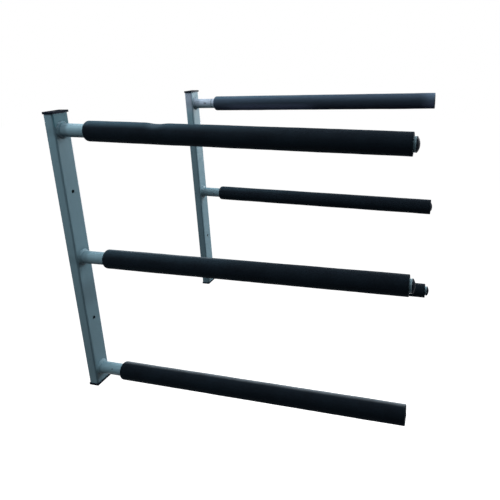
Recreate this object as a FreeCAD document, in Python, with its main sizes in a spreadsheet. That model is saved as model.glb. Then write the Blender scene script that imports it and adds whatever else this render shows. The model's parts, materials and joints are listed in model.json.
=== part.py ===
"""Wall rack for boards: two painted steel uprights, each with three padded arms welded to its front.

The arms stand square to the wall, but two of them hang a little low.
Frame, in millimetres: +Z up, the wall is the plane Y = 0 and the arms reach towards -Y.
The origin is the middle of the four wall-fixing holes, level with the middle arms.
"""
import FreeCAD, Part
import Sketcher
import os
import re

# Driving dimensions
SIZES = {
    # Uprights
    "upright_width": 50.0,
    "upright_depth": 25.0,
    "upright_wall": 2.0,
    "upright_corner": 5.0,
    "bore_corner": 3.0,
    "unit_spacing": 630.0,
    "level_spacing": 300.0,
    "head_overhang": 37.0,
    "foot_overhang": 34.0,
    "hole_diameter": 8.0,
    "hole_pitch": 320.0,
    # Arms and their welds
    "arm_diameter": 30.0,
    "arm_wall": 2.0,
    "arm_reach": 765.0,
    "short_arm_cut": 10.0,
    "weld_leg": 5.0,
    "weld_crown": 0.7,
    # Angles, in degrees, by which two of the arms hang down from square
    "left_top_droop": 1.7,
    "right_middle_droop": 1.4,
    # Foam sleeves
    "sleeve_wall": 7.2,
    "sleeve_land": 1.2,
    "sleeve_clearance": 0.3,
    "stub_length": 65.0,
    "tip_show": 5.5,
    "sleeve_slip": 7.0,
    "sleeve_spare": 7.0,
    # Domed plugs in the free ends of the arms
    "plug_edge": 1.2,
    "plug_dome": 5.0,
    "plug_stem_wall": 1.8,
    "plug_clearance": 0.1,
    "fin_height": 0.9,
    "fin_width": 1.2,
    "fin_pitch": 4.5,
    # Rectangular caps in the ends of the uprights
    "cap_floor": 2.4,
    "cap_dish": 2.6,
    "cap_lip": 1.8,
    "cap_corner": 2.0,
    "cap_edge_round": 0.8,
    "cap_rim": 3.5,
    "cap_skirt": 16.0,
    "cap_skirt_wall": 1.8,
    "cap_clearance": 0.25,
}
FIN_COUNT = 3

# Each unit stands on its own side of the origin, and each arm on its own level
SIDES = {"left": "-unit_spacing / 2", "right": "unit_spacing / 2"}
LEVELS = {"top": "level_spacing", "middle": "0", "bottom": "-level_spacing"}
# Arms that hang a little below square, and the angle of each
DROOPS = {("left", "top"): "left_top_droop", ("right", "middle"): "right_middle_droop"}
# Arms that were cut shorter, so that they end inside their sleeves
SHORT = {("left", "bottom"), ("right", "top")}
# A sleeve that has slipped outwards, and one that was cut longer and hides the rim of its tube
SLIPPED = {("right", "top")}
LONG = {("right", "middle")}

X_AXIS = FreeCAD.Vector(1, 0, 0)
Y_AXIS = FreeCAD.Vector(0, 1, 0)

doc = FreeCAD.newDocument("board_wall_rack")
sheet = doc.addObject("Spreadsheet::Sheet", "Sizes")
for row, (alias, value) in enumerate(SIZES.items(), start=1):
    sheet.set(f"A{row}", alias)
    sheet.set(f"B{row}", str(value))
    sheet.setAlias(f"B{row}", alias)
doc.recompute()


def bound(words):
    """An expression in the sheet's words, as other objects write it."""
    return re.sub(r"[a-z][a-z_]+", r"Sizes.\g<0>", words)


def bound_angle(words):
    """The same for an expression in degrees."""
    return f"({bound(words)}) * 1 deg"


def number(words):
    """The value of an expression in the sheet's words."""
    return float(sheet.evalExpression(words))


def new_body(label, across, depth, height, turn="0", about=X_AXIS):
    """A body whose own origin lies at the given place, turned about an axis by some degrees."""
    body = doc.addObject("PartDesign::Body", label)
    body.Label = label
    for axis, words in (("x", across), ("y", depth), ("z", height)):
        body.setExpression(f"Placement.Base.{axis}", bound(words))
    body.Placement.Rotation = FreeCAD.Rotation(about, 0)
    body.setExpression("Placement.Rotation.Angle", bound_angle(turn))
    return body


def droop_of(side, level):
    """How far an arm hangs down from square, in degrees."""
    return DROOPS.get((side, level), "0")


def reach_of(side, level):
    """How far the tube of an arm reaches from the face of its upright."""
    return "(arm_reach - short_arm_cut)" if (side, level) in SHORT else "arm_reach"


def new_arm_body(kind, side, level):
    """A body of one arm: its origin is the middle of the arm's root, and -Y runs along the arm."""
    label = f"{side}_{level}_{kind}"
    return new_body(label, SIDES[side], "-upright_depth", LEVELS[level], droop_of(side, level))


def new_sketch(body, name, role, offset="0", turn="0"):
    """A sketch on one of the body's own origin planes, moved along that plane's normal by offset and
    turned about the X axis by some degrees."""
    plane = next(item for item in body.Origin.OriginFeatures if item.Role == role)
    sketch = body.newObject("Sketcher::SketchObject", name)
    sketch.AttachmentSupport = (plane, [""])
    sketch.MapMode = "FlatFace"
    sketch.AttachmentOffset = FreeCAD.Placement(FreeCAD.Vector(), FreeCAD.Rotation(X_AXIS, 0))
    sketch.setExpression("AttachmentOffset.Base.z", bound(offset))
    sketch.setExpression("AttachmentOffset.Rotation.Angle", bound_angle(turn))
    return sketch


def set_size(sketch, constraint, words):
    """Adds a dimension to a sketch and binds it to the sheet."""
    index = sketch.addConstraint(constraint)
    sketch.setExpression(f"Constraints[{index}]", bound(words))


def pin_point(sketch, item, point, across, up):
    """Holds a sketch point at its place, measured from the sketch's origin."""
    root, root_point = -1, 1
    set_size(sketch, Sketcher.Constraint("DistanceX", root, root_point, item, point, number(across)), across)
    set_size(sketch, Sketcher.Constraint("DistanceY", root, root_point, item, point, number(up)), up)


def add_circle(sketch, diameter, up="0"):
    """A circle on the sketch's upright axis."""
    centre = FreeCAD.Vector(0, number(up), 0)
    circle = sketch.addGeometry(Part.Circle(centre, FreeCAD.Vector(0, 0, 1), number(diameter) / 2))
    pin_point(sketch, circle, 3, "0", up)
    set_size(sketch, Sketcher.Constraint("Diameter", circle, number(diameter)), diameter)


def arc_between(start, end, radius):
    """A short arc that bulges to the right of the way from start to end."""
    chord = end - start
    middle = (start + end) / 2
    left = FreeCAD.Vector(-chord.y, chord.x, 0).normalize()
    rise = radius - (radius ** 2 - (chord.Length / 2) ** 2) ** 0.5
    return Part.Arc(start, middle - left * rise, end)


def add_outline(sketch, corners):
    """A closed outline, drawn anticlockwise. A corner is (across, up), or (across, up, radius) where
    the side that leaves it is an arc."""
    points = [FreeCAD.Vector(number(corner[0]), number(corner[1]), 0) for corner in corners]
    sides = []
    for place, corner in enumerate(corners):
        start = points[place]
        end = points[(place + 1) % len(points)]
        if len(corner) == 3:
            side = sketch.addGeometry(arc_between(start, end, number(corner[2])))
            set_size(sketch, Sketcher.Constraint("Radius", side, number(corner[2])), corner[2])
        else:
            side = sketch.addGeometry(Part.LineSegment(start, end))
        sides.append(side)
    for place, corner in enumerate(corners):
        sketch.addConstraint(Sketcher.Constraint("Coincident", sides[place - 1], 2, sides[place], 1))
        pin_point(sketch, sides[place], 1, corner[0], corner[1])


def rounded_rectangle(half_width, back, front, radius):
    """Corners of a rectangle with round corners, from its back line to its front line."""
    right, left = f"{half_width}", f"-({half_width})"
    return [
        (f"{left} + {radius}", front),
        (f"{right} - {radius}", front, radius),
        (right, f"{front} + {radius}"),
        (right, f"{back} - {radius}", radius),
        (f"{right} - {radius}", back),
        (f"{left} + {radius}", back, radius),
        (left, f"{back} - {radius}"),
        (left, f"{front} + {radius}", radius),
    ]


def pad(body, name, sketch, length, reverse=False):
    """Extrudes a sketch along its plane's normal, or against it."""
    feature = body.newObject("PartDesign::Pad", name)
    feature.Profile = sketch
    feature.Reversed = reverse
    feature.setExpression("Length", bound(length))
    return feature


def pocket(body, name, sketch, depth, reverse=False, sides="One side"):
    """Cuts a sketch into the body, and makes sure that it took material away."""
    doc.recompute()
    before = body.Shape.Volume
    feature = body.newObject("PartDesign::Pocket", name)
    feature.Profile = sketch
    feature.SideType = sides
    feature.Reversed = reverse
    feature.setExpression("Length", bound(depth))
    doc.recompute()
    if body.Shape.Volume >= before:
        raise RuntimeError(f"{body.Label}: {name} cuts nothing")


def revolve(body, name, sketch):
    """Turns a sketch once round its upright axis."""
    feature = body.newObject("PartDesign::Revolution", name)
    feature.Profile = sketch
    feature.ReferenceAxis = (sketch, ["V_Axis"])
    feature.Angle = 360


def make_upright(side):
    """Rectangular tube with two fixing holes right through it. Its back lies on the wall."""
    body = new_body(f"{side}_upright", SIDES[side], "0", "0")
    section = new_sketch(body, "section", "XY_Plane", "-(level_spacing + foot_overhang)")
    add_outline(section, rounded_rectangle("upright_width / 2", "0", "-upright_depth", "upright_corner"))
    add_outline(section, rounded_rectangle("upright_width / 2 - upright_wall", "-upright_wall",
                                           "upright_wall - upright_depth", "bore_corner"))
    pad(body, "tube", section, "2 * level_spacing + head_overhang + foot_overhang")
    holes = new_sketch(body, "holes", "XZ_Plane")
    for up in ("hole_pitch / 2", "-hole_pitch / 2"):
        add_circle(holes, "hole_diameter", up)
    pocket(body, "fixing_holes", holes, "upright_depth", reverse=True)
    return body


def make_cap(side, end):
    """Push-in cap: a flange with a dished top, flush with the wall at its back, on a hollow skirt."""
    height, turn = {"top": ("level_spacing + head_overhang", "0"),
                    "bottom": ("-(level_spacing + foot_overhang)", "180")}[end]
    body = new_body(f"{side}_{end}_cap", SIDES[side], "0", height, turn, Y_AXIS)

    plate = new_sketch(body, "plate", "XY_Plane")
    add_outline(plate, rounded_rectangle("upright_width / 2 + cap_lip", "0", "-(upright_depth + cap_lip)",
                                         "cap_corner"))
    flange = pad(body, "flange", plate, "cap_floor + cap_dish")
    doc.recompute()
    rim = body.newObject("PartDesign::Fillet", "rim")
    middle = number("cap_floor + cap_dish") / 2
    edges = [f"Edge{place}" for place, edge in enumerate(flange.Shape.Edges, start=1)
             if min(vertex.Z for vertex in edge.Vertexes) > middle]
    rim.Base = (flange, edges)
    rim.setExpression("Radius", bound("cap_edge_round"))

    dish = new_sketch(body, "dish", "XY_Plane", "cap_floor + cap_dish")
    add_outline(dish, rounded_rectangle("upright_width / 2 + cap_lip - cap_rim", "-cap_rim",
                                        "-(upright_depth + cap_lip - cap_rim)", "bore_corner"))
    pocket(body, "dished_top", dish, "cap_dish")

    ring = new_sketch(body, "ring", "XY_Plane")
    gap = "upright_wall + cap_clearance"
    core = f"{gap} + cap_skirt_wall"
    add_outline(ring, rounded_rectangle(f"upright_width / 2 - ({gap})", f"-({gap})",
                                        f"{gap} - upright_depth", "bore_corner"))
    half_core, back, front = f"upright_width / 2 - ({core})", f"-({core})", f"{core} - upright_depth"
    add_outline(ring, [(f"-({half_core})", front), (half_core, front),
                       (half_core, back), (f"-({half_core})", back)])
    pad(body, "skirt", ring, "cap_skirt", reverse=True)
    return body


def make_arm(side, level):
    """Round tube, cut square at its free end and at its root to lie flat on the front of its upright."""
    body = new_arm_body("arm", side, level)
    spare = "arm_diameter / 2"
    section = new_sketch(body, "section", "XZ_Plane", f"-{spare}")
    add_circle(section, "arm_diameter")
    add_circle(section, "arm_diameter - 2 * arm_wall")
    pad(body, "tube", section, f"{reach_of(side, level)} + {spare}")
    face = new_sketch(body, "face", "XZ_Plane", turn=f"-{droop_of(side, level)}")
    add_circle(face, "2 * arm_diameter")
    pocket(body, "root_cut", face, "arm_diameter")
    return body


def make_weld(side, level):
    """Fillet weld with a full face, all round the root of the arm: a bead on the face of the upright,
    drawn on as deep as the wall of the arm and then bored along the arm."""
    body = new_body(f"{side}_{level}_weld", SIDES[side], "-upright_depth", LEVELS[level])
    inner = "arm_diameter / 2 - arm_wall"
    across = "(weld_leg + arm_wall)"
    along = "(weld_leg + arm_wall / 2)"
    face_radius = f"(({across}^2 + {along}^2) / 4 + weld_crown^2) / (2 * weld_crown)"
    profile = new_sketch(body, "profile", "XY_Plane")
    add_outline(profile, [
        (inner, "0"),
        (inner, f"-{along}", face_radius),
        (f"{inner} + {across}", "0"),
    ])
    revolve(body, "bead", profile)
    bore = new_sketch(body, "bore", "XZ_Plane", turn=droop_of(side, level))
    add_circle(bore, "arm_diameter")
    pocket(body, "bore_for_arm", bore, "4 * weld_leg", sides="Symmetric")
    return body


def make_sleeve(side, level):
    """Foam tube: round at the wall end, cut square at the free end."""
    body = new_arm_body("sleeve", side, level)
    slip = "sleeve_slip" if (side, level) in SLIPPED else "0"
    spare = "sleeve_spare" if (side, level) in LONG else "0"
    start = f"-(stub_length + {slip})"
    end = f"-(arm_reach - tip_show + {slip} + {spare})"
    inner = "arm_diameter / 2 + sleeve_clearance"
    outer = f"{inner} + sleeve_wall"
    rounding = "(sleeve_wall - sleeve_land)"
    profile = new_sketch(body, "profile", "XY_Plane")
    add_outline(profile, [
        (inner, end),
        (outer, end),
        (outer, f"{start} - {rounding}", rounding),
        (f"{inner} + sleeve_land", start),
        (inner, start),
    ])
    revolve(body, "foam", profile)
    return body


def make_plug(side, level):
    """Domed plug: its head closes the end of the tube and its finned, hollow stem grips the bore."""
    body = new_arm_body("plug", side, level)
    head = "arm_diameter / 2"
    fin = f"{head} - arm_wall - plug_clearance"
    stem = f"{fin} - fin_height"
    bore = f"{stem} - plug_stem_wall"
    reach = reach_of(side, level)
    inner_end = f"-({reach} - {FIN_COUNT + 1} * fin_pitch)"
    dome_radius = "((arm_diameter / 2)^2 + plug_dome^2) / (2 * plug_dome)"
    corners = [
        ("0", f"-({reach} + plug_edge + plug_dome)", dome_radius),
        (head, f"-({reach} + plug_edge)"),
        (head, f"-{reach}"),
        (stem, f"-{reach}"),
    ]
    for place in range(1, FIN_COUNT + 1):
        near = f"-({reach} - {place} * fin_pitch)"
        far = f"{near} + fin_width"
        corners += [(stem, near), (fin, near), (fin, far), (stem, far)]
    corners += [(stem, inner_end), (bore, inner_end), (bore, f"-{reach}"), ("0", f"-{reach}")]
    profile = new_sketch(body, "profile", "XY_Plane")
    add_outline(profile, corners)
    revolve(body, "plug", profile)
    return body


def make_unit(side):
    """Every piece of one unit."""
    pieces = [make_upright(side)]
    for end in ("top", "bottom"):
        pieces.append(make_cap(side, end))
    for level in LEVELS:
        for make in (make_arm, make_weld, make_sleeve, make_plug):
            pieces.append(make(side, level))
    return pieces


def write_pieces(pieces):
    """Checks the whole document, then writes one file for each piece."""
    doc.recompute()
    for item in doc.Objects:
        if "Invalid" in item.State or "Error" in item.State:
            raise RuntimeError(f"{item.Label} failed: {item.State}")
    for piece in pieces:
        if piece.Shape.isNull() or not piece.Shape.isValid() or len(piece.Shape.Solids) != 1:
            raise RuntimeError(f"{piece.Label} is not one valid solid")
    os.makedirs("parts", exist_ok=True)
    for piece in pieces:
        piece.Shape.exportStep(f"parts/{piece.Label}.step")
        print(f"{piece.Label}: {piece.Shape.Volume:.0f} mm3")


write_pieces([piece for side in SIDES for piece in make_unit(side)])
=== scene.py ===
"""Looks of the board wall rack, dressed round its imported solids, in metres and in the part's own frame.

Two painted steel uprights carry welded tube arms in black foam sleeves. The wall is the plane Y = 0, the arms
reach towards -Y and +Z is up. Uprights, arms, caps and plugs keep their solids and get a finish. The foam
sleeves and the weld beads are modelled here.
"""
import json
import math

import bmesh
import bpy
from mathutils import Matrix, Vector


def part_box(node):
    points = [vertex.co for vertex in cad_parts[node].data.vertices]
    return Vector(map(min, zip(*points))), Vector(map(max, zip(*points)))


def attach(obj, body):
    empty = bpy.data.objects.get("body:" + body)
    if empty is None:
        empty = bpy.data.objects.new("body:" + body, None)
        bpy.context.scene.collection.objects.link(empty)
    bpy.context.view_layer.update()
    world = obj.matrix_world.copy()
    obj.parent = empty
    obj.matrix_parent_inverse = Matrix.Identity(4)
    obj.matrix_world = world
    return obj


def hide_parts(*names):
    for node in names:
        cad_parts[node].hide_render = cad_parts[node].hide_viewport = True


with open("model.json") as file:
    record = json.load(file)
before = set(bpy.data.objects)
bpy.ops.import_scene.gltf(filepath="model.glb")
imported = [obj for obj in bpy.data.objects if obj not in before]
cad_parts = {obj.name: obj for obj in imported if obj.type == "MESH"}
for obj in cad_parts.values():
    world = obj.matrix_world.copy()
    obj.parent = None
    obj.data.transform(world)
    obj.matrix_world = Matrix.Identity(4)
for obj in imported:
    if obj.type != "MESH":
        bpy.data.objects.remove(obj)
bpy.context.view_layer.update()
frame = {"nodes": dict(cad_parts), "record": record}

MM = 0.001

# Places that the finishes and the new pieces follow, read from the solids
SIDES = ("left", "right")
LEVELS = ("top", "middle", "bottom")
ARMS = [f"{side}_{level}" for side in SIDES for level in LEVELS]
upright_low, upright_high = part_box("right_upright")
top_arm_low, top_arm_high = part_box("right_top_arm")
arm_low, arm_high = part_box("left_middle_arm")
sleeve_low, sleeve_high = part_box("left_middle_sleeve")
UNIT_X = (upright_low.x + upright_high.x) / 2
UPRIGHT_HALF_WIDTH = (upright_high.x - upright_low.x) / 2
UPRIGHT_FRONT = upright_low.y
LEVEL_SPACING = (top_arm_low.z + top_arm_high.z) / 2
ARM_RADIUS = (arm_high.x - arm_low.x) / 2
ARM_TIP = arm_low.y
ARM_REACH = UPRIGHT_FRONT - ARM_TIP
SLEEVE_RADIUS = (sleeve_high.x - sleeve_low.x) / 2
wall_holes = next(mount for mount in frame["record"]["mounts"] if mount["name"] == "wall_holes")
HOLE_HEIGHT = wall_holes["dims"]["spacing_y_mm"] * MM / 2
HOLE_RADIUS = wall_holes["dims"]["hole_r_mm"] * MM

# Radius of the uprights' round corners, which the box of a solid does not show
CORNER = 5 * MM


def arm_root(arm):
    """The middle of the face that an arm grows from."""
    low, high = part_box(f"{arm}_weld")
    return Vector(((low.x + high.x) / 2, UPRIGHT_FRONT, (low.z + high.z) / 2))


def arm_droop(arm):
    """The angle by which an arm hangs below square."""
    low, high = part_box(f"{arm}_arm")
    return math.asin((arm_root(arm).z - ARM_RADIUS - low.z) / ARM_REACH)


def along_arm(arm):
    """Moves a piece modelled along -Y from the origin to its place on an arm."""
    return Matrix.Translation(arm_root(arm)) @ Matrix.Rotation(arm_droop(arm), 4, "X")


# Marks that the photograph shows: on the stubs of the right unit, and a dent on top of the left top sleeve
SLIP_RING = UPRIGHT_FRONT - 62 * MM
STUB_KNOCKS = (along_arm("right_top") @ Vector((-ARM_RADIUS, -41 * MM, 2 * MM)),
               along_arm("right_middle") @ Vector((-ARM_RADIUS, -42 * MM, -1 * MM)))
DENT = along_arm("left_top") @ Vector((0, -238 * MM, SLEEVE_RADIUS))

# A knock is longer along its arm than it is high, because distances count for less along it
KNOCK_SHAPE = Vector((1.0, 0.7, 1.3))


# Colours

def linear(level):
    """One channel of a colour, from the usual 0 to 255 steps to the linear value that a socket takes."""
    share = level / 255
    return share / 12.92 if share <= 0.04045 else ((share + 0.055) / 1.055) ** 2.4


def srgb(red, green, blue):
    """A colour written in the usual 0 to 255 steps."""
    return (linear(red), linear(green), linear(blue), 1.0)


PAINT_DEEP = srgb(97, 127, 140)
PAINT_PALE = srgb(109, 139, 152)
# dark primer, also used as painted shade along the uprights' round corners
PRIMER_AND_CORNER_SHADE = srgb(44, 66, 78)
# painted shade
HEAD_SHADE = srgb(60, 102, 114)
DARKER_PATCH = srgb(58, 72, 82)
# painted shade
FLANK_SHADE = srgb(30, 42, 50)
# painted glare
HEAD_GLARE = srgb(160, 168, 190)
# torch soot, and painted shade round the welds
WELD_SMOKE_AND_SHADE = srgb(46, 62, 72)
DRILLED_RIM = srgb(48, 58, 64)
CUT_STEEL = srgb(150, 156, 158)
SLIP_MARK = srgb(56, 66, 74)
KNOCK_EDGE = srgb(34, 42, 54)
KNOCKED_STEEL = srgb(176, 184, 194)
CHIPPED_PAINT = srgb(62, 72, 78)

FOAM_DEEP = srgb(11, 16, 22)
FOAM_PALE = srgb(18, 27, 35)
FOAM_PIT = srgb(6, 8, 11)
FOAM_CUT = srgb(8, 10, 14)
# painted glare on the right top sleeve, above and below
GLARE_ABOVE = srgb(76, 94, 114)
GLARE_BELOW = srgb(84, 96, 124)
# dust, and painted sheen
DUST_AND_SHEEN = srgb(78, 106, 122)
# painted highlight
RIM_HIGHLIGHT = srgb(120, 130, 138)
# painted glint
DENT_GLINT = srgb(120, 132, 142)

PLASTIC_DEEP = srgb(8, 15, 25)
PLASTIC_PALE = srgb(14, 23, 36)
SCUFFED_PLASTIC = srgb(56, 66, 74)
COOL_SHEEN = srgb(150, 190, 215)

WHITE = srgb(255, 255, 255)
FLOOR_PALE = srgb(230, 230, 230)
FLOOR_DIM = srgb(60, 60, 62)


# Materials

class Socket:
    """An output of a material's nodes, so that masks are written as plain sums."""

    def __init__(self, tree, end):
        self.tree = tree
        self.end = end

    def node(self, kind, settings=None, inputs=None, output=0):
        """Adds any node: its settings first, then the values or links of its sockets."""
        made = self.tree.nodes.new(kind)
        for name, value in (settings or {}).items():
            setattr(made, name, value)
        feed(made, inputs or {})
        return Socket(self.tree, made.outputs[output])

    def math(self, operation, *values):
        """A Math node with this socket first."""
        return self.node("ShaderNodeMath", {"operation": operation}, dict(enumerate((self, *values))))

    def __add__(self, other):
        return self.math("ADD", other)

    def __sub__(self, other):
        return self.math("SUBTRACT", other)

    def __rsub__(self, other):
        return self.node("ShaderNodeMath", {"operation": "SUBTRACT"}, {0: other, 1: self})

    def __mul__(self, other):
        return self.math("MULTIPLY", other)

    def __truediv__(self, other):
        return self.math("DIVIDE", other)

    def __pow__(self, other):
        return self.math("POWER", other)

    def __abs__(self):
        return self.math("ABSOLUTE")

    __radd__ = __add__
    __rmul__ = __mul__

    def fade(self, start, end):
        """0 at start and 1 at end, with a soft step between them. Start may be the larger one."""
        return self.node("ShaderNodeMapRange", {"interpolation_type": "SMOOTHSTEP"},
                         {"Value": self, "From Min": start, "From Max": end})

    def mix(self, without, with_all):
        """The colour that this mask picks between two colours."""
        return self.node("ShaderNodeMix", {"data_type": "RGBA"}, {0: self, 6: without, 7: with_all}, output=2)

    def stretched(self, *scales):
        """This vector times a scale along each axis."""
        return self.node("ShaderNodeVectorMath", {"operation": "MULTIPLY"}, {0: self, 1: scales})

    def noise(self, scale, detail=2.0):
        """Soft noise at this vector, from 0 to 1 about 0.5."""
        return self.node("ShaderNodeTexNoise", {}, {"Vector": self, "Scale": scale, "Detail": detail})

    def cells(self, scale):
        """Distance from the nearest of many scattered points, in cells."""
        return self.node("ShaderNodeTexVoronoi", {}, {"Vector": self, "Scale": scale}, output="Distance")

    def distance(self, point):
        """How far this place is from a point."""
        return self.node("ShaderNodeVectorMath", {"operation": "DISTANCE"}, {0: self, 1: point},
                         output="Value")

    def parts(self):
        """The three coordinates of this vector."""
        split = self.node("ShaderNodeSeparateXYZ", {}, {0: self})
        return [Socket(self.tree, end) for end in split.end.node.outputs]

    def bump(self, strength, distance):
        """A normal that this height bends."""
        return self.node("ShaderNodeBump", {}, {"Strength": strength, "Distance": distance, "Height": self})


def feed(node, inputs):
    """Sets or links the sockets of a node."""
    for name, value in inputs.items():
        if isinstance(value, Socket):
            value.tree.links.new(value.end, node.inputs[name])
        else:
            node.inputs[name].default_value = value


def new_material(name):
    """A material with its shader, and the Object coordinates that its patterns read."""
    material = bpy.data.materials.new(name)
    material.use_nodes = True
    tree = material.node_tree
    shader = tree.nodes["Principled BSDF"]
    coordinates = tree.nodes.new("ShaderNodeTexCoord")
    return material, shader, Socket(tree, coordinates.outputs["Object"])


class Surface:
    """Where a point of a finish lies, and which way the surface faces there."""

    def __init__(self, place):
        self.place = place
        self.across, self.depth, self.height = place.parts()
        facing = place.node("ShaderNodeNewGeometry", output="Normal")
        self.facing_right, self.facing_wall, self.facing_up = facing.parts()

        # Masks: 1 on one unit and 0 on the other, 1 about the top arms, 1 towards the painted glare on the
        # left and above
        self.right_unit = self.across.math("GREATER_THAN", 0.0)
        self.left_unit = 1 - self.right_unit
        self.top_arms = self.height.math("GREATER_THAN", LEVEL_SPACING / 2)
        self.facing_glare = (self.facing_up * 0.6 - self.facing_right * 0.8).fade(-0.1, 0.9)


# Paint

def from_unit_middle(at):
    """How far to the side of its upright's middle a point lies."""
    return abs(abs(at.across) - UNIT_X)


def thin_paint_and_corner_shade(at, flecks):
    """Where paint draws thinly over the round corners of the uprights, and where painted shade darkens those
    corners.
    """
    side_edge = from_unit_middle(at).fade(UPRIGHT_HALF_WIDTH - CORNER, UPRIGHT_HALF_WIDTH)
    front_edge = at.depth.fade(UPRIGHT_FRONT + CORNER, UPRIGHT_FRONT)
    back_edge = at.depth.fade(-CORNER, 0.0)
    return side_edge * (front_edge + back_edge) * (0.6 + flecks * 0.8)


def unit_tones_shade_and_glare(colour, at):
    """In front, the left unit has painted shade at its head and is darker in a patch below its middle arm.
    The left flank of the right unit has painted shade lower down, and painted glare at its head."""
    left_front = at.left_unit * at.facing_wall.fade(-0.5, -0.95)
    shaded_left_head = left_front * at.height.fade(LEVEL_SPACING, LEVEL_SPACING + 15 * MM)
    # Painted shade on the front of the left unit's head, above the top arm
    colour = (shaded_left_head * 0.85).mix(colour, HEAD_SHADE)
    # Darker in a patch below the left unit's middle arm
    darker_patch = left_front * abs(at.height + 90 * MM).fade(45 * MM, 10 * MM)
    colour = (darker_patch * 0.3).mix(colour, DARKER_PATCH)

    # Painted shade on the left flank of the right unit, lower down
    low_down = at.height.fade(LEVEL_SPACING - 30 * MM, LEVEL_SPACING - 110 * MM)
    flank = at.right_unit * at.facing_right.fade(-0.4, -0.9) * low_down
    colour = (flank * 0.40).mix(colour, FLANK_SHADE)
    # Painted glare on the left of the right unit's head
    head = at.height.fade(LEVEL_SPACING - 35 * MM, LEVEL_SPACING + 5 * MM)
    glare_on_head = at.right_unit * at.facing_glare * head
    return (glare_on_head * 0.5).mix(colour, HEAD_GLARE)


def smoke_and_shade_welds(colour, at, mottle):
    """Smoke from the torch in patches round the welds, mixed with painted shade, and painted shade under the
    welds and on the left of the upper arms' roots, with a painted shadow of the head on top of the left top
    arm's root."""
    from_level = abs(at.height - (at.height / LEVEL_SPACING).math("ROUND") * LEVEL_SPACING)
    from_axis = (from_unit_middle(at) ** 2.0 + from_level ** 2.0) ** 0.5
    at_face = at.depth.fade(-52 * MM, -40 * MM)
    near_weld = from_axis.fade(ARM_RADIUS + 16 * MM, ARM_RADIUS + 4 * MM) * at_face
    # Painted shade under the welds and on the left of the upper roots, and the head cap's painted shadow on
    # the left top root
    shade_underneath = at.facing_up.fade(-0.1, -0.7) * at.depth.fade(-36 * MM, -30 * MM)
    shade_upper_left = at.facing_right.fade(-0.2, -0.8) * at.height.fade(-LEVEL_SPACING, -LEVEL_SPACING / 2)
    head_shadow_on_top = at.left_unit * at.top_arms * at.facing_up.fade(-0.2, 0.8)
    smoke_and_shade = mottle.fade(0.3, 0.8) * 0.3 + shade_underneath * 0.35 + shade_upper_left * 0.25 + head_shadow_on_top * 0.35
    return (near_weld * smoke_and_shade).mix(colour, WELD_SMOKE_AND_SHADE)


def bare_rims(colour, at, flecks):
    """Bare metal at the rims of the drilled holes and of the arms' cut ends."""
    from_hole = (from_unit_middle(at) ** 2.0 + (abs(at.height) - HOLE_HEIGHT) ** 2.0) ** 0.5
    hole_rim = from_hole.fade(HOLE_RADIUS + 1.6 * MM, HOLE_RADIUS + 0.2 * MM) * flecks.fade(0.35, 0.6)
    colour = (hole_rim * 0.7).mix(colour, DRILLED_RIM)
    cut_rim = at.depth.fade(ARM_TIP + 1.2 * MM, ARM_TIP + 0.2 * MM) * flecks.fade(0.3, 0.6)
    return (cut_rim * 0.6).mix(colour, CUT_STEEL)


def mark_stubs(colour, at, flecks):
    """A dark ring where the right top sleeve sat before it slipped out, and knocks down to the metal on two
    stubs."""
    waver = (at.place.noise(90.0) - 0.5) * (4 * MM)
    ring = abs(at.depth + waver - SLIP_RING).fade(3.0 * MM, 0.4 * MM) * at.right_unit * at.top_arms
    colour = (ring * (0.4 + flecks * 0.6)).mix(colour, SLIP_MARK)
    for knock in STUB_KNOCKS:
        spot = at.place.stretched(*KNOCK_SHAPE).distance(knock * KNOCK_SHAPE) + waver
        colour = (spot.fade(4.4 * MM, 2.0 * MM) * 0.85).mix(colour, KNOCK_EDGE)
        colour = spot.fade(1.5 * MM, 0.7 * MM).mix(colour, KNOCKED_STEEL)
    return colour


def make_paint():
    """Satin grey-blue paint on welded tube, thinly coated on the corners, chipped here and there and marked
    by use, with painted shade and painted glare in places.
    """
    material, shader, place = new_material("grey_blue_paint")
    at = Surface(place)
    mottle = place.noise(8.0, 3.0)
    runs = place.stretched(70.0, 70.0, 3.5).noise(1.0)
    flecks = place.noise(160.0, 4.0)
    peel = place.noise(420.0, 1.0)
    thin_and_shaded = thin_paint_and_corner_shade(at, flecks)
    chips = place.cells(38.0).fade(0.085, 0.05) * place.noise(21.0).fade(0.58, 0.66)

    tone = 0.5 + (mottle - 0.5) * 0.9 + (runs - 0.5) * 0.5
    colour = tone.mix(PAINT_DEEP, PAINT_PALE)
    # Dark primer where paint is thin, and painted shade along the round corners
    colour = (thin_and_shaded * 0.5).mix(colour, PRIMER_AND_CORNER_SHADE)
    colour = unit_tones_shade_and_glare(colour, at)
    colour = smoke_and_shade_welds(colour, at, mottle)
    colour = bare_rims(colour, at, flecks)
    colour = mark_stubs(colour, at, flecks)
    colour = chips.mix(colour, CHIPPED_PAINT)

    roughness = 0.40 + (mottle - 0.5) * 0.18 + thin_and_shaded * 0.15 + chips * 0.25
    relief = peel * 0.6 + flecks * 0.3 - chips * 1.5
    feed(shader, {"Base Color": colour, "Roughness": roughness, "Specular IOR Level": 0.12,
                  "Normal": relief.bump(0.18, 0.5 * MM)})
    return material


# Foam

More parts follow.
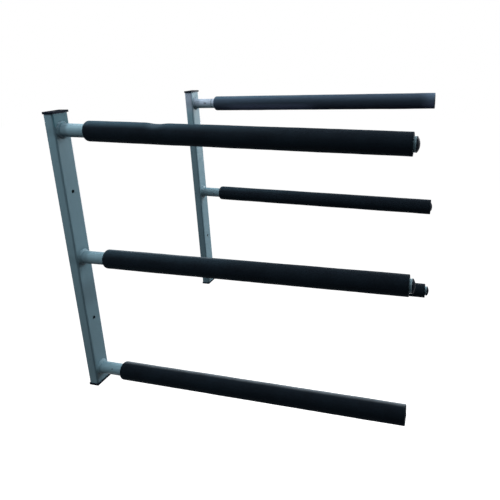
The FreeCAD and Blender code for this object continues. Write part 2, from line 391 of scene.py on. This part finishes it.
def glare_right_top(colour, at):
    """Painted glare on the left of the right top sleeve, strongest at its free end."""
    right_top = at.right_unit * at.top_arms
    free_end = at.depth.fade(ARM_TIP + 45 * MM, ARM_TIP - 5 * MM)
    towards_wall = at.depth.fade(-400 * MM, -100 * MM)
    above = 0.16 + at.facing_up.fade(0.0, 1.0) * 0.26 + towards_wall * 0.1 + free_end * 0.5
    colour = (above * at.facing_glare * right_top).mix(colour, GLARE_ABOVE)
    low_left = at.facing_up.fade(0.1, -0.7) * at.facing_right.fade(0.3, -0.4)
    wall_half = at.depth.fade(-460 * MM, -380 * MM) * at.depth.fade(-100 * MM, -200 * MM)
    below = 0.15 + wall_half * 0.6 + free_end * 0.8
    return (below * low_left * right_top).mix(colour, GLARE_BELOW)


def dust_and_sheen_on_top(at, mottle, skin):
    """Dust and painted sheen on top, most of it on the upper sleeves and towards the wall."""
    unwiped = at.depth.fade(-620 * MM, -80 * MM) * at.height.fade(-0.6 * LEVEL_SPACING, LEVEL_SPACING)
    return at.facing_up.fade(0.45, 1.05) * unwiped * (0.6 + mottle * 0.4 + skin * 0.4)


def rim_highlight(at, mottle):
    """On the left unit, a painted highlight along the right of the bottom sleeve and of the middle one's wall
    end.
    """
    on_bottom = at.height.math("LESS_THAN", -LEVEL_SPACING / 2)
    on_middle = abs(at.height).math("LESS_THAN", LEVEL_SPACING / 2)
    lower_left = at.left_unit * (on_bottom + on_middle * at.depth.fade(-500 * MM, -250 * MM))
    line = at.facing_right.fade(-0.25, 0.45) * at.facing_up.fade(0.6, 0.8) * (0.5 + mottle)
    return line * lower_left


def dent_glint(at):
    """A painted glint on the dent in the left top sleeve, a little paler."""
    return at.place.distance(DENT).fade(30 * MM, 4 * MM) * at.facing_up.fade(0.6, 1.0)


def make_foam():
    """Black closed-cell foam: a fine pitted skin, dusty, with painted sheen, highlight, glint and glare in
    places, and a rougher cut end.
    """
    material, shader, place = new_material("black_foam")
    at = Surface(place)
    mottle = place.noise(22.0, 4.0)
    drawn = place.stretched(260.0, 9.0, 260.0).noise(1.0, 3.0)
    skin = place.noise(650.0, 2.0)
    pits = place.cells(520.0).fade(0.36, 0.12)
    cells = place.cells(900.0).fade(0.5, 0.1)
    cut = at.facing_wall.fade(-0.80, -0.95)
    dust_and_sheen = dust_and_sheen_on_top(at, mottle, skin)

    tone = 0.5 + (mottle - 0.5) * 1.2 + (drawn - 0.5) * 0.6
    colour = tone.mix(FOAM_DEEP, FOAM_PALE)
    colour = (pits * 0.55).mix(colour, FOAM_PIT)
    # Painted glare on the right top sleeve
    colour = glare_right_top(colour, at)
    colour = (cut * (0.4 + cells * 0.6)).mix(colour, FOAM_CUT)
    # Dust, with painted sheen that fades from the wall towards the free ends
    colour = (dust_and_sheen * 0.36).mix(colour, DUST_AND_SHEEN)
    # Painted highlight on the upper right of the left unit's lower sleeves
    colour = (rim_highlight(at, mottle) * 0.6).mix(colour, RIM_HIGHLIGHT)
    # Painted glint on the dent
    colour = (dent_glint(at) * 0.09).mix(colour, DENT_GLINT)

    roughness = 0.74 + (drawn - 0.5) * 0.2 + pits * 0.1 + dust_and_sheen * 0.1
    relief = skin * 0.35 + drawn * 0.3 - pits * 0.6 - cut * cells * 0.9
    feed(shader, {"Base Color": colour, "Roughness": roughness, "Specular IOR Level": 0.018,
                  "Sheen Weight": 0.07, "Sheen Roughness": 0.4, "Sheen Tint": COOL_SHEEN,
                  "Normal": relief.bump(0.4, 0.5 * MM)})
    return material


# Plastic

def make_plastic(name, gloss, dullness):
    """Black moulded polyethylene with a fine grain and a few pale scuffs."""
    material, shader, place = new_material(name)
    mottle = place.noise(60.0, 3.0)
    grain = place.noise(1500.0, 2.0)
    scuffs = place.stretched(90.0, 260.0, 160.0).noise(1.0, 5.0).fade(0.60, 0.74)

    colour = mottle.mix(PLASTIC_DEEP, PLASTIC_PALE)
    colour = (scuffs * 0.3).mix(colour, SCUFFED_PLASTIC)
    roughness = dullness + (mottle - 0.5) * 0.2 + scuffs * 0.2
    relief = grain - scuffs * 0.4
    feed(shader, {"Base Color": colour, "Roughness": roughness, "Specular IOR Level": gloss,
                  "Specular Tint": COOL_SHEEN, "Normal": relief.bump(0.15, 0.3 * MM)})
    return material


PAINT = make_paint()
FOAM = make_foam()
CAP_PLASTIC = make_plastic("cap_plastic", gloss=0.03, dullness=0.40)
PLUG_PLASTIC = make_plastic("plug_plastic", gloss=0.03, dullness=0.60)


def give_finish(piece, material):
    """Makes this the only material of a piece."""
    piece.data.materials.clear()
    piece.data.materials.append(material)


# Tools for modelling

MERGE_DISTANCE = 0.01 * MM
NEAR = 0.05 * MM


def deselect():
    """Leaves nothing selected, so that the next operator acts on the new piece alone."""
    bpy.ops.object.select_all(action="DESELECT")


def pick(piece):
    """Makes a piece the one that operators act on."""
    deselect()
    piece.select_set(True)
    bpy.context.view_layer.objects.active = piece


def start_editing():
    """Takes up the new primitive in edit mode, with its place in its mesh."""
    bpy.ops.object.transform_apply(location=True, rotation=True, scale=True)
    bpy.ops.object.mode_set(mode="EDIT")
    bpy.ops.mesh.select_all(action="SELECT")
    return bpy.context.object


def close_seams():
    """In edit mode, merges doubled points and turns all faces outwards."""
    bpy.ops.mesh.select_all(action="SELECT")
    bpy.ops.mesh.remove_doubles(threshold=MERGE_DISTANCE)
    bpy.ops.mesh.normals_make_consistent(inside=False)


def select_edges(piece, wanted):
    """In edit mode, selects the edges whose two ends pass a test."""
    bpy.ops.mesh.select_all(action="DESELECT")
    bpy.ops.mesh.select_mode(type="EDGE")
    shape = bmesh.from_edit_mesh(piece.data)
    for edge in shape.edges:
        edge.select_set(wanted(*(end.co for end in edge.verts)))
    bmesh.update_edit_mesh(piece.data)


def select_points(piece, wanted):
    """In edit mode, selects the points that pass a test."""
    bpy.ops.mesh.select_all(action="DESELECT")
    bpy.ops.mesh.select_mode(type="VERT")
    shape = bmesh.from_edit_mesh(piece.data)
    for point in shape.verts:
        point.select_set(wanted(point.co))
    bmesh.update_edit_mesh(piece.data)


def group_points(piece, name, wanted):
    """Keeps the points that pass a test in a group of their own."""
    group = piece.vertex_groups.new(name=name)
    group.add([point.index for point in piece.data.vertices if wanted(point.co)], 1.0, "REPLACE")


def from_arm_axis(point):
    """Distance of a point from the Y axis, about which sleeves and welds are modelled."""
    return math.hypot(point.x, point.z)


def settle(piece, name, place):
    """Names a piece modelled at the origin and moves its mesh to its place."""
    piece.name = piece.data.name = name
    piece.data.transform(place)


def roughen(piece, name, size, depth, group):
    """Pushes a group of points in and out by soft noise with lumps of one size."""
    noise = bpy.data.textures.new(name, "CLOUDS")
    noise.noise_scale = size
    lumps = piece.modifiers.new(name, "DISPLACE")
    lumps.texture = noise
    lumps.texture_coords = "GLOBAL"
    lumps.strength = depth
    lumps.mid_level = 0.5
    lumps.vertex_group = group
    pick(piece)
    bpy.ops.object.modifier_apply(modifier=name)


# Foam sleeves

SLEEVE_SIDES = 96
SLEEVE_RINGS = 180
SLEEVE_CLEARANCE = 0.3 * MM
BORE_RADIUS = ARM_RADIUS + SLEEVE_CLEARANCE
WALL_END_ROUND = 6 * MM
WALL_END_STEPS = 8
CUT_EDGE_ROUND = 0.7 * MM
CUT_EDGE_STEPS = 2
SWELL_SIZE = 90 * MM
SWELL_DEPTH = 1.0 * MM
LUMP_SIZE = 14 * MM
LUMP_DEPTH = 0.35 * MM
DENT_DEPTH = 2.2 * MM
DENT_REACH = 26 * MM
SLEEVE_SMOOTH_ANGLE = math.radians(35)
SKIN = "skin"


def model_sleeve(start, end):
    """One foam tube along -Y, from its round wall end to its square-cut free end."""
    deselect()
    length = end - start
    bpy.ops.mesh.primitive_circle_add(vertices=SLEEVE_SIDES, radius=BORE_RADIUS, location=(0, -start, 0),
                                      rotation=(math.pi / 2, 0, 0))
    sleeve = start_editing()

    # From the bore out over the wall end, along the skin, in over the cut end and back through the bore
    wider = SLEEVE_RADIUS / BORE_RADIUS
    bpy.ops.mesh.extrude_region_move()
    bpy.ops.transform.resize(value=(wider, 1, wider), center_override=(0, 0, 0))
    bpy.ops.mesh.extrude_region_move(TRANSFORM_OT_translate={"value": (0, -length, 0)})
    bpy.ops.mesh.extrude_region_move()
    bpy.ops.transform.resize(value=(1 / wider, 1, 1 / wider), center_override=(0, 0, 0))
    bpy.ops.mesh.extrude_region_move(TRANSFORM_OT_translate={"value": (0, length, 0)})
    close_seams()

    def on_skin(*ends):
        return all(abs(from_arm_axis(point) - SLEEVE_RADIUS) < NEAR for point in ends)

    select_edges(sleeve, lambda a, b: on_skin(a, b) and min(a.y, b.y) > -start - NEAR)
    bpy.ops.mesh.bevel(offset=WALL_END_ROUND, segments=WALL_END_STEPS, affect="EDGES")
    select_edges(sleeve, lambda a, b: on_skin(a, b) and max(a.y, b.y) < NEAR - end)
    bpy.ops.mesh.bevel(offset=CUT_EDGE_ROUND, segments=CUT_EDGE_STEPS, affect="EDGES")
    select_edges(sleeve, lambda a, b: on_skin(a, b) and abs(a.y - b.y) > length / 2)
    bpy.ops.mesh.subdivide(number_cuts=SLEEVE_RINGS)
    bpy.ops.object.mode_set(mode="OBJECT")
    group_points(sleeve, SKIN, lambda point: from_arm_axis(point) > BORE_RADIUS + NEAR)
    return sleeve


def press_dent(sleeve, place, depth, reach):
    """Presses a soft dent into the top of a sleeve, where the edge of a board has rested."""
    pick(sleeve)
    bpy.ops.object.mode_set(mode="EDIT")
    select_points(sleeve, lambda point: (point - place).length < reach / 4)
    bpy.ops.transform.translate(value=(0, 0, -depth), use_proportional_edit=True,
                                use_proportional_connected=True, proportional_edit_falloff="SMOOTH",
                                proportional_size=reach)
    bpy.ops.object.mode_set(mode="OBJECT")


def sleeve_ends(arm):
    """How far along its arm a sleeve starts and ends. In the box of a sleeve that hangs low, the top of its
    free end and the bottom of its wall end come out furthest."""
    low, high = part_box(f"{arm}_sleeve")
    droop = arm_droop(arm)
    wall_end_radius = SLEEVE_RADIUS - WALL_END_ROUND
    start = (UPRIGHT_FRONT - high.y + wall_end_radius * math.sin(droop)) / math.cos(droop)
    end = (UPRIGHT_FRONT - low.y - SLEEVE_RADIUS * math.sin(droop)) / math.cos(droop)
    return start, end


def make_sleeves():
    """A foam sleeve in place of each plain foam solid."""
    for arm in ARMS:
        sleeve = model_sleeve(*sleeve_ends(arm))
        settle(sleeve, f"{arm}_foam", along_arm(arm))
        roughen(sleeve, "slow_swell", SWELL_SIZE, SWELL_DEPTH, SKIN)
        roughen(sleeve, "small_lumps", LUMP_SIZE, LUMP_DEPTH, SKIN)
        if arm == "left_top":
            press_dent(sleeve, DENT, DENT_DEPTH, DENT_REACH)
        pick(sleeve)
        bpy.ops.object.shade_smooth_by_angle(angle=SLEEVE_SMOOTH_ANGLE)
        give_finish(sleeve, FOAM)
        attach(sleeve, "root")
        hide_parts(f"{arm}_sleeve")


# Weld beads

WELD_LEG = 5 * MM
WELD_CROWN = 0.5 * MM
WELD_CLEARANCE = 0.05 * MM
SECTION_POINTS = 128
WELD_RIPPLES = 34
STEPS_PER_RIPPLE = 4
RIPPLE_DEPTH = 0.25 * MM
CREST_START = 0.12 * WELD_LEG
CREST_END = 0.88 * WELD_LEG
CREST_RISE = 0.1 * WELD_LEG
UNEVEN_SIZE = 9 * MM
UNEVEN_DEPTH = 0.8 * MM
WELD_SMOOTH_ANGLE = math.radians(50)
CREST = "crest"


def model_weld():
    """One bead round the Y axis, on the plane Y = 0: a round section cut square to the tube and the face."""
    deselect()
    inner = ARM_RADIUS + WELD_CLEARANCE
    radius = (WELD_LEG ** 2 / 2 + WELD_CROWN ** 2) / (2 * WELD_CROWN)
    inset = (radius - WELD_CROWN) / math.sqrt(2) - WELD_LEG / 2
    bpy.ops.mesh.primitive_circle_add(vertices=SECTION_POINTS, radius=radius, fill_type="NGON",
                                      location=(inner - inset, inset - WELD_CLEARANCE, 0))
    weld = start_editing()
    for place, away in (((inner, 0, 0), (-1, 0, 0)), ((0, -WELD_CLEARANCE, 0), (0, 1, 0))):
        bpy.ops.mesh.select_all(action="SELECT")
        bpy.ops.mesh.bisect(plane_co=place, plane_no=away, clear_outer=True)
    bpy.ops.mesh.select_all(action="SELECT")
    bpy.ops.mesh.delete(type="ONLY_FACE")
    bpy.ops.mesh.select_all(action="SELECT")
    steps = WELD_RIPPLES * STEPS_PER_RIPPLE
    bpy.ops.mesh.spin(steps=steps, angle=2 * math.pi, center=(0, 0, 0), axis=(0, 1, 0))
    close_seams()

    def in_a_groove(point):
        step = math.atan2(point.z, point.x) / (2 * math.pi) * steps
        return round(step) % STEPS_PER_RIPPLE == 0

    def on_crest(point):
        return CREST_START < from_arm_axis(point) - inner < CREST_END and point.y < -CREST_RISE

    select_points(weld, lambda point: on_crest(point) and in_a_groove(point))
    bpy.ops.transform.shrink_fatten(value=-RIPPLE_DEPTH)
    bpy.ops.object.mode_set(mode="OBJECT")
    group_points(weld, CREST, on_crest)
    return weld


def make_welds():
    """A rippled bead in place of each plain weld solid."""
    for arm in ARMS:
        weld = model_weld()
        settle(weld, f"{arm}_bead", Matrix.Translation(arm_root(arm)))
        roughen(weld, "uneven_run", UNEVEN_SIZE, UNEVEN_DEPTH, CREST)
        pick(weld)
        bpy.ops.object.shade_smooth_by_angle(angle=WELD_SMOOTH_ANGLE)
        give_finish(weld, PAINT)
        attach(weld, "root")
        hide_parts(f"{arm}_weld")


# Finishes of the solids that keep their shape

def finish_solids():
    """Paint on the steel, black plastic on the caps and plugs."""
    for side in SIDES:
        give_finish(frame["nodes"][f"{side}_upright"], PAINT)
        for end in ("top", "bottom"):
            give_finish(frame["nodes"][f"{side}_{end}_cap"], CAP_PLASTIC)
    for arm in ARMS:
        give_finish(frame["nodes"][f"{arm}_arm"], PAINT)
        give_finish(frame["nodes"][f"{arm}_plug"], PLUG_PLASTIC)


finish_solids()
make_sleeves()
make_welds()


# Camera, as fitted to the photograph

CAMERA_PLACE = Vector((-1.2679, -0.8589, 0.4346))
CAMERA_AIM = Vector((0.9104, 0.2902, -0.2949))
CAMERA_RIGHT = Vector((0.2928, -0.9555, -0.0365))
FOCAL_PIXELS = 520.5
FRAME_PIXELS = 500
AXIS_PIXEL = (295, 218)
SENSOR = 36.0


def make_camera():
    """A camera whose axis meets the picture at one given pixel."""
    data = bpy.data.cameras.new("camera")
    data.sensor_width = SENSOR
    data.lens = FOCAL_PIXELS * SENSOR / FRAME_PIXELS
    data.shift_x = 0.5 - AXIS_PIXEL[0] / FRAME_PIXELS
    data.shift_y = AXIS_PIXEL[1] / FRAME_PIXELS - 0.5
    camera = bpy.data.objects.new("camera", data)
    bpy.context.scene.collection.objects.link(camera)
    back = -CAMERA_AIM.normalized()
    up = back.cross(CAMERA_RIGHT).normalized()
    turn = Matrix((up.cross(back), up, back)).transposed()
    camera.matrix_world = Matrix.Translation(CAMERA_PLACE) @ turn.to_4x4()
    bpy.context.scene.camera = camera


# Studio

AMBIENT = 0.03
FLOOR_HEIGHT = -2.2
FLOOR_SIZE = 40.0
SOFT_BOX_SIZE = 1.2
RACK_MIDDLE = Vector((0.0, -0.3, 0.0))

# The lamps light the floor below the rack, and between these two distances their light fades away
LIT_WITHIN = 0.5
UNLIT_BEYOND = 5.0
GLOW_WHERE_LIT = 0.84
EXTRA_GLOW_UNLIT = 0.15

# Each soft light by its name, its place and its power in watts
SOFT_BOXES = (
    ("top_light", (0.0, -0.4, 2.2), 14),
    ("top_left_light", (-1.6, -0.3, 1.9), 11),
    ("over_wall_light", (0.0, 0.25, 1.7), 22),
    ("left_wall_light", (-1.2, 0.25, 1.4), 15),
    ("front_right_light", (1.6, -1.7, 0.7), 36),
    ("high_right_light", (1.2, -1.5, 1.5), 19),
    ("right_light", (2.3, -0.4, 0.4), 27),
    ("behind_light", (0.5, 2.2, 0.5), 25),
)


def make_lights():
    """Square soft lights that face the middle of the rack."""
    for name, place, power in SOFT_BOXES:
        data = bpy.data.lights.new(name, "AREA")
        data.shape = "SQUARE"
        data.size = SOFT_BOX_SIZE
        data.energy = power
        light = bpy.data.objects.new(name, data)
        bpy.context.scene.collection.objects.link(light)
        light.location = place
        light.rotation_euler = (RACK_MIDDLE - Vector(place)).to_track_quat("-Z", "Y").to_euler()


def seen_directly(tree):
    """1 for what the camera, a reflection or a see-through surface shows, and 0 for soft light."""
    path = tree.nodes.new("ShaderNodeLightPath")
    camera, glossy, through = (Socket(tree, path.outputs[name])
                               for name in ("Is Camera Ray", "Is Glossy Ray", "Is Transmission Ray"))
    return camera.math("MAXIMUM", glossy).math("MAXIMUM", through)


def make_world():
    """A white surround for the eye, and a dim even light for the object."""
    world = bpy.data.worlds.new("studio")
    bpy.context.scene.world = world
    world.use_nodes = True
    tree = world.node_tree
    seen = seen_directly(tree)
    feed(tree.nodes["Background"], {"Color": WHITE, "Strength": seen * (1 - AMBIENT) + AMBIENT})


def make_floor():
    """A pale floor far below, as under a rack high on a wall. It glows less where the lamps light it, so that
    it stays white all over and still keeps the rack's shadow."""
    deselect()
    bpy.ops.mesh.primitive_plane_add(size=FLOOR_SIZE, location=(0, 0, FLOOR_HEIGHT))
    floor = bpy.context.object
    material = bpy.data.materials.new("pale_floor")
    material.use_nodes = True
    tree = material.node_tree
    seen = seen_directly(tree)
    across, along, _ = seen.node("ShaderNodeTexCoord", output="Object").parts()
    unlit = ((across ** 2.0 + along ** 2.0) ** 0.5).fade(LIT_WITHIN, UNLIT_BEYOND)
    pale = seen.node("ShaderNodeBsdfDiffuse", {}, {"Color": FLOOR_PALE})
    dim = seen.node("ShaderNodeBsdfDiffuse", {}, {"Color": FLOOR_DIM})
    strength = GLOW_WHERE_LIT + unlit * EXTRA_GLOW_UNLIT
    glow = seen.node("ShaderNodeEmission", {}, {"Strength": strength})
    shown = pale.node("ShaderNodeAddShader", {}, {0: pale, 1: glow})
    surface = seen.node("ShaderNodeMixShader", {}, {0: seen, 1: dim, 2: shown})
    feed(tree.nodes["Material Output"], {"Surface": surface})
    give_finish(floor, material)


make_camera()
make_world()
make_floor()
make_lights()
bpy.context.scene.view_settings.view_transform = "Standard"
